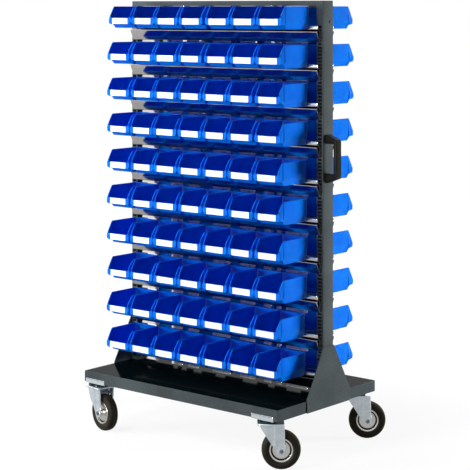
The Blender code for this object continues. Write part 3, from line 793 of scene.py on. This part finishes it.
# %% [markdown]
# ## The castors
#
# A castor has a fixed plate with a turned edge, a ball race, a pressed fork that swivels,
# and a wheel with a rubber tyre on a steel rim. Turned pieces are a profile spun about
# their axis. A fork leg is a sheet: at every height it runs from its leading to its
# trailing edge. Its leading part is bent inwards, a flat rib stands out of its middle, and
# its trailing edge is folded in. The swivel and axle places come from the joints of the
# model, so the pieces turn true.

# %% Places of the castors
joint_place = {joint["name"]: joint.get("pos_m") for joint in frame["joints"]}
corner_names = ("front_right", "front_left", "rear_right", "rear_left")


def castor_place(corner):
    """Where a castor swivels, where its wheel turns, and the angle from one to the other."""
    places = [joint_place[f"{corner}_{kind}_joint"] for kind in ("swivel", "wheel")]
    swivel, axle = (np.array(places) - rack_middle) / MM
    return swivel, axle, math.atan2(axle[1] - swivel[1], axle[0] - swivel[0])


for corner in corner_names:
    swivel, axle, turn = castor_place(corner)
    print(f"{corner}: swivel at {swivel[:2].round(1).tolist()}, turned {math.degrees(turn):.0f} degrees")

# The axle's trail, the heights of the axle and of the crown's top, the radius of a leg's round
# foot, the place of its outer face beside the axle, and how far it splays above that.
TRAIL, AXLE_Z, CROWN_Z, BOSS, LEG_FACE, SPLAY = 40.0, 62.5, 150.0, 14.0, 28, 8


# %% Fork legs
# Rows up a leg, closer together round its foot and where it meets the crown.
leg_rows = np.array([48.7, 49.6, 51.5, 54, 57, 60, 62.5, 66, 70, 74, 78, 82, 86, 90, 95, 100, 105,
                     110, 115, 120, 125, 130, 134, 137, 140, 143, 146, 149.4])
# The columns that lie on an edge or a fold, and the least share of the width before each.
fold_columns = [0, 7, 11, 15, 17, 21, 26, 31]
fold_shares = np.array([0, 0.03, 0.08, 0.16, 0.24, 0.32, 0.8, 1])
# Where the leading part bends inwards, where the rib starts and ends, the width of its flank and
# of the trailing fold, and the sheet.
BEND_X, RIB_FROM, RIB_TO, RIB_FLANK, TRAILING_FOLD, FORK_SHEET = -8, 16.0, 27.5, 3.4, 4.5, 2.8


def leg_shape(side):
    """Rows up the leg. x runs between the two edges in columns that keep to the folds of the sheet."""
    z = leg_rows
    drop = np.sqrt(np.clip(BOSS**2 - (z - AXLE_Z) ** 2, 0, None))
    lead = np.where(z < 56.1, TRAIL - drop, np.interp(z, [56.1, 134, 149.4], [27.5, -24, -30]))
    rear = np.where(z < AXLE_Z, TRAIL + drop, np.interp(z, [AXLE_Z, 149.4], [54, 49.6]))
    upright_folds = (BEND_X, RIB_FROM, RIB_FROM + RIB_FLANK, RIB_TO - RIB_FLANK, RIB_TO)
    wanted = [lead] + [np.full(len(z), fold) for fold in upright_folds] + [rear - TRAILING_FOLD, rear]
    least = lead[:, None] + fold_shares * (rear - lead)[:, None]
    columns = np.arange(fold_columns[-1] + 1)
    x = [np.interp(columns, fold_columns, row) for row in np.maximum(np.stack(wanted, axis=1), least)]
    x = np.array(x)
    # The sheet is flat round the axle, and its folds grow out of it above, along a smooth step.
    up = np.clip((z - 66) / 24, 0, 1)[:, None]
    up = up * up * (3 - 2 * up)
    splay = SPLAY * np.clip(z - AXLE_Z, 0, None)[:, None] / (CROWN_Z - AXLE_Z)
    rib = 3.2 * np.clip(np.minimum(x - RIB_FROM, RIB_TO - x) / RIB_FLANK, 0, 1)
    flange = 0.40 * np.clip(BEND_X - x, 0, None)
    folded_in = 4.0 * np.clip((x - rear[:, None] + TRAILING_FOLD) / TRAILING_FOLD, 0, 1) ** 2
    y = LEG_FACE + splay + (rib - flange - folded_in - 2.0) * up
    height = np.broadcast_to(z[:, None], x.shape)
    outer, inner = [np.stack([x, side * face, height], axis=-1) for face in (y, y - FORK_SHEET)]
    return lofted(np.concatenate([outer, inner[:, ::-1]], axis=1))


def fork_shape():
    """Crown, two legs, the web between their leading edges, and the axle, in the frame of the swivel."""
    crown = rounded(rectangle(-36, -36.5, 50, 36.5), (14, 5, 5, 14), 5)
    parts = [plate(crown, CROWN_Z - 6, CROWN_Z, "Z", edge=2.4, steps=4), leg_shape(-1), leg_shape(1)]
    web = [[(x, -half, z), (x + 2.6, -half, z), (x + 2.6, half, z), (x, half, z)]
           for x, half, z in ((-27.0, 18.5, 146.5), (-10.5, 27.5, 113))]
    parts.append(lofted(web))
    parts.append(moved(turned([(5, -29), (5, 29)], 20), (TRAIL, 0, AXLE_Z)))
    for side in (-1, 1):
        ends = span(side, 27.6, 29.2)
        washer = turned([(9.6, ends[0]), (9.9, ends[0] + 0.3), (9.9, ends[1] - 0.3), (9.6, ends[1])], 24)
        parts.append(moved(washer, (TRAIL, 0, AXLE_Z)))
    return joined(parts)


def axle_nuts():
    """A hexagon at each end of the axle, with the round end of the bolt in it."""
    parts = []
    for side in (-1, 1):
        ends, tip = span(side, 28.9, 31.9), span(side, 30.0, 31.98)
        parts.append(plate(polygon(7.4, 6, 0.3), ends[0], ends[1], "Y", edge=0.7))
        tip_profile = [(3.0, tip[0]), (3.6, tip[0] + 0.3), (3.6, tip[1] - 0.5), (3.0, tip[1])]
        parts.append(turned(tip_profile, 16))
    return moved(joined(parts), (TRAIL, 0, AXLE_Z))


# %% Wheel, race and plate
def both_sides(profile):
    """A profile for one side, then the same on the other side in backward order."""
    profile = np.asarray(profile, float)
    return np.concatenate([profile, profile[::-1] * (1, -1)])


# Radius and place along the axle. The flank has a moulded step, and the tread is crowned.
tyre_profile = both_sides([
    (38.4, -12.0), (38.6, -14.2), (40.5, -15.8), (44, -16.7), (50, -17), (54.5, -16.6),
    (55.3, -16.0), (56.2, -16.1), (58.2, -14.9), (60.3, -12.4), (61.7, -8.8), (62.35, -4.5), (62.5, -1.0),
])
# A hub, a dished disc, a groove that holds a near-black ring as painted shade, and the bead that holds
# the tyre.
rim_profile = both_sides([
    (9.4, -22.2), (10.6, -21.4), (10.8, -11.5), (12.6, -9.8), (16, -9.4), (24.0, -11.2),
    (27.4, -11.0), (28.4, -9.8), (28.6, -3.6), (32.3, -3.6), (32.6, -13.6), (33.4, -15.4),
    (35, -16.1), (37.4, -15.9), (38.6, -14.6),
])
# A near-black ring in each rim's groove: painted shade of the groove.
groove_shade_profile = [(28.7, -3.4), (28.7, -7.6), (32.2, -7.6), (32.2, -3.4)]
# Radius and height of the ball race, from the crown of the fork up to the plate.
race_profile = [
    (22, 150.1), (33.4, 150.1), (35, 151.3), (35.2, 153.4), (34, 155.6), (30, 156.6), (27, 157),
    (27, 159.4), (28, 159.9), (28.6, 162.2), (28.2, 167.4), (27.4, 172.6), (22, 172.6),
]
# A near-black band between the race's two cups: painted shade of the gap.
race_gap_shade_profile = [(26, 156.7), (31.0, 156.7), (31.0, 159.7), (26, 159.7)]
PLATE_DEPTH, PLATE_SHEET = 16, 3.5


def plate_shape(low, high, sign):
    """The plate in its CAD place, with the edge that is turned down over the skirt's notch."""
    outline = rounded(rectangle(low[0], low[1], high[0], high[1]), 3.0)
    parts = [plate(outline, high[2] - PLATE_SHEET, high[2], "Z", edge=0.5)]
    y = span(sign, DECK_SIDE, DECK_SIDE - PLATE_SHEET)
    foot, top = (low[0], y[0], high[2] - PLATE_DEPTH), (high[0], y[1], high[2] - 0.5)
    parts.append(box_plate(foot, top, "Y", edge=0.8, corner=1.6))
    return joined(parts)


def plate_bolts(low, high):
    """Four hexagon heads under the corners of the plate."""
    head = plate(polygon(7.2, 6), -6.2, -0.1, "Z", edge=0.8)
    along, across = (low[0] + 9.5, high[0] - 9.5), (low[1] + 11, high[1] - 11)
    underside = high[2] - PLATE_SHEET
    return joined([moved(head, (x, y, underside)) for x in along for y in across])


# %% Building the four castors
fork, nuts = fork_shape(), axle_nuts()
tyre, rim = turned(tyre_profile, 72, ring_shaped=True), turned(rim_profile, 56)
race = turned(race_profile, 48, axis="Z")
groove_shades = joined([turned(np.array(groove_shade_profile) * (1, side), 56, ring_shaped=True) for side in (1, -1)])
race_gap_shade = turned(race_gap_shade_profile, 48, axis="Z")
for corner in corner_names:
    swivel, axle, turn = castor_place(corner)
    foot, sign = (swivel[0], swivel[1], 0), -1 if corner.startswith("front") else 1
    low, high = in_rack(f"{corner}_caster_plate")
    swings, rolls = f"{corner}_swivel", f"{corner}_rolling"
    pieces = (
        ("plate", plate_shape(low, high, sign), castor_zinc, "zinc", "rack", "caster_plate"),
        ("plate_bolts", plate_bolts(low, high), bolt_zinc, "zinc", "rack", None),
        ("race", moved(race, foot), dark_steel_and_race_shade, "zinc", "rack", None),
        ("race_gap_painted_shade", moved(race_gap_shade, foot), recess_shade_plastic, "tyre", "rack", None),
        ("fork_pressing", moved(fork, foot, turn), castor_zinc, "zinc", swings, "fork"),
        ("axle_nuts", moved(nuts, foot, turn), bolt_zinc, "zinc", swings, None),
        ("rim", moved(rim, axle, turn), rim_zinc, "zinc", rolls, None),
        ("groove_painted_shade_rings", moved(groove_shades, axle, turn), recess_shade_plastic, "tyre", rolls, None),
        ("tyre", moved(tyre, axle, turn), tyre_rubber, "tyre", rolls, "wheel"),
    )
    for name, shape, material, slot, body, node in pieces:
        make_piece(f"{corner}_{name}", shape, material, body, [f"{corner}_{node}"] if node else [])

# %% [markdown]
# ## Small fastener
#
# One small screw shows on the end face of the right post, near the top, where it locks the
# beam. It is dark, so it gets the nearly black steel of the ball races.

# %% Locking screw
screw = turned([(2.8, -0.5), (4.2, -0.2), (4.4, 0.3), (3.7, 1.1), (1.8, 1.5)], 20, axis="X")
make_piece("locking_screw", moved(screw, (END, 8.5, 1413.6)), dark_steel_and_race_shade)

# %% [markdown]
# ## Floor, light and camera
#
# The picture shows the rack on pure white, so the floor and the world are white to the
# camera. In a reflection the studio behind the camera and the floor are dimmer, which keeps
# bare metal grey. Lamps light the rack, with a faint glow from all around: a large one low
# at the front left, a small one high in front and one low at the rear right, because the
# fronts and the right-hand sides are bright in the picture while the insides of the bins
# are deep and dark. A fourth lamp shows only in reflections, as the light edge of bent metal.

# %% Floor and world
# The floor's level in a reflection, and its glow to the camera: dimmer up to 0.6 m, a
# painted shade round the rack that lets its real shadow show, and fully white from 2 m.
MIRRORED_FLOOR, SHADED_GLOW_NEAR_RACK, SHADE_FADES_FROM, SHADE_GONE_AT = 0.46, 0.88, 0.6, 2.0
# In a reflection the wall behind the camera is the dimmest. The glow from all around is faint.
TO_CAMERA, FAR_WALL, NEAR_WALL, GLOW = (0.643, -0.766, 0), 1.35, 0.92, 0.06


def seen_rays(tree, mirrored_level):
    """1 for a camera ray, the level for a glossy or transmission ray, and 0 for light on the rack."""
    path = add(tree, "ShaderNodeLightPath").outputs
    bounced = {0: path["Is Glossy Ray"], 1: path["Is Transmission Ray"]}
    either = add(tree, "ShaderNodeMath", bounced, operation="MAXIMUM")
    levels = {0: either.outputs[0], 1: mirrored_level, 2: path["Is Camera Ray"]}
    return add(tree, "ShaderNodeMath", levels, operation="MULTIPLY_ADD").outputs[0]


floor_card, tree, shader, place = bare_finish("white_studio_floor", 0.8, Specular_IOR_Level=0.0,
                                              Base_Color=linear("#6a6a6a"), Emission_Color=(1, 1, 1, 1))
reach = add(tree, "ShaderNodeVectorMath", {0: place}, operation="LENGTH")
spread = {0: reach.outputs[1], 1: SHADE_FADES_FROM, 2: SHADE_GONE_AT, 3: SHADED_GLOW_NEAR_RACK, 4: 1.0}
# A lower glow near the rack: a painted shade round it.
glow_with_painted_shade = add(tree, "ShaderNodeMapRange", spread)
seen = {0: seen_rays(tree, MIRRORED_FLOOR), 1: glow_with_painted_shade.outputs[0]}
shine = add(tree, "ShaderNodeMath", seen, operation="MULTIPLY")
tree.links.new(shine.outputs[0], shader.inputs["Emission Strength"])
floor_corners = [(-20, -20, 0), (20, -20, 0), (20, 20, 0), (-20, 20, 0)]
floor = in_scene("studio_floor", floor_corners, [(0, 1, 2, 3)], floor_card)

world = bpy.data.worlds.new("white_studio")
bpy.context.scene.world = world
world.use_nodes = True
tree = world.node_tree
tree.nodes.clear()
direction = add(tree, "ShaderNodeTexCoord").outputs["Generated"]
towards = add(tree, "ShaderNodeVectorMath", {0: direction, 1: TO_CAMERA}, operation="DOT_PRODUCT")
falling = {0: towards.outputs[1], 1: 0.2, 2: 0.95, 3: FAR_WALL, 4: NEAR_WALL}
walls = add(tree, "ShaderNodeMapRange", falling)
levels = {0: seen_rays(tree, walls.outputs[0]), 1: GLOW}
strength = add(tree, "ShaderNodeMath", levels, operation="MAXIMUM")
white = add(tree, "ShaderNodeBackground", {"Color": (1, 1, 1, 1), "Strength": strength.outputs[0]})
add(tree, "ShaderNodeOutputWorld", {"Surface": white.outputs[0]})
print("world and floor are white to the camera")


# %% Lamps and camera
AIM_HEIGHT = 0.75  # the middle of the rack's height, in metres


def soft_lamp(name, azimuth, elevation, distance, size, watts, mirrored=False):
    """A square lamp that looks at the middle of the rack. Azimuth 0 is the front, 90 the right end."""
    lamp = bpy.data.lights.new(name, "AREA")
    lamp.size, lamp.energy = size, watts
    holder = bpy.data.objects.new(name, lamp)
    bpy.context.scene.collection.objects.link(holder)
    azimuth, elevation = math.radians(azimuth), math.radians(elevation)
    flat, rise = distance * math.cos(elevation), distance * math.sin(elevation)
    holder.location = (flat * math.sin(azimuth), -flat * math.cos(azimuth), AIM_HEIGHT + rise)
    holder.rotation_euler = (math.pi / 2 - elevation, 0, azimuth)
    holder.visible_glossy, holder.visible_diffuse = mirrored, not mirrored
    return holder


soft_lamp("front_left_softbox", -46, 6, 4.8, 2.6, 340)
soft_lamp("front_top_softbox", -8, 38, 5.0, 1.2, 110)
soft_lamp("rear_right_softbox", 133, -5, 3.2, 1.0, 152)
soft_lamp("edge_strip", 4, 8, 4.2, 1.0, 260, mirrored=True)

# Solved from the deck's edges and the rows of bins. The camera is level, and its frame is shifted.
FRAME_PX, FOCAL_PX, CENTRE_X_PX, HORIZON_PX = 470, 1569.36, 234.978, 7.843
CAMERA_PLACE, CAMERA_AZIMUTH = (3.4770, -4.1044, 1.45875), 40.0102
camera = bpy.data.cameras.new("photo_view")
camera.sensor_width = 36
camera.lens = FOCAL_PX / FRAME_PX * camera.sensor_width
camera.shift_x = (FRAME_PX / 2 - CENTRE_X_PX) / FRAME_PX
camera.shift_y = (HORIZON_PX - FRAME_PX / 2) / FRAME_PX
camera.clip_end = 60
viewer = bpy.data.objects.new("photo_view", camera)
bpy.context.scene.collection.objects.link(viewer)
viewer.location = rack_middle + CAMERA_PLACE
viewer.rotation_euler = (math.pi / 2, 0, math.radians(CAMERA_AZIMUTH))
bpy.context.scene.camera = viewer
bpy.context.scene.view_settings.view_transform = "Standard"
